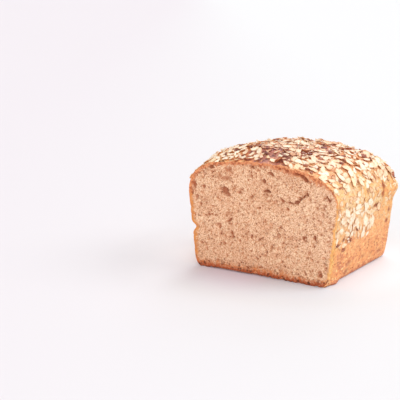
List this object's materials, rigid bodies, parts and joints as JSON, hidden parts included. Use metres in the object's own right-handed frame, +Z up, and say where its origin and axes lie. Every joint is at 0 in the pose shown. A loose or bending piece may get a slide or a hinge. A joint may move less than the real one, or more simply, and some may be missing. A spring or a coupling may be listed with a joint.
{
  "type": "oat millet bread",
  "caption": "Half of a tin-baked wholegrain loaf, cut straight across, with a domed crust strewn with rolled oats.",
  "frame": {"origin": "middle of the flat base the loaf stands on", "axes": "+X across the loaf, towards the wall with the band of oats; +Y along it, from the cut face to the baked end; +Z up"},
  "size_m": [0.1286, 0.1063, 0.092],
  "materials": {
    "bread": "matte"
  },
  "bodies": {
    "root": {"loaf": "bread"}
  },
  "joints": []
}
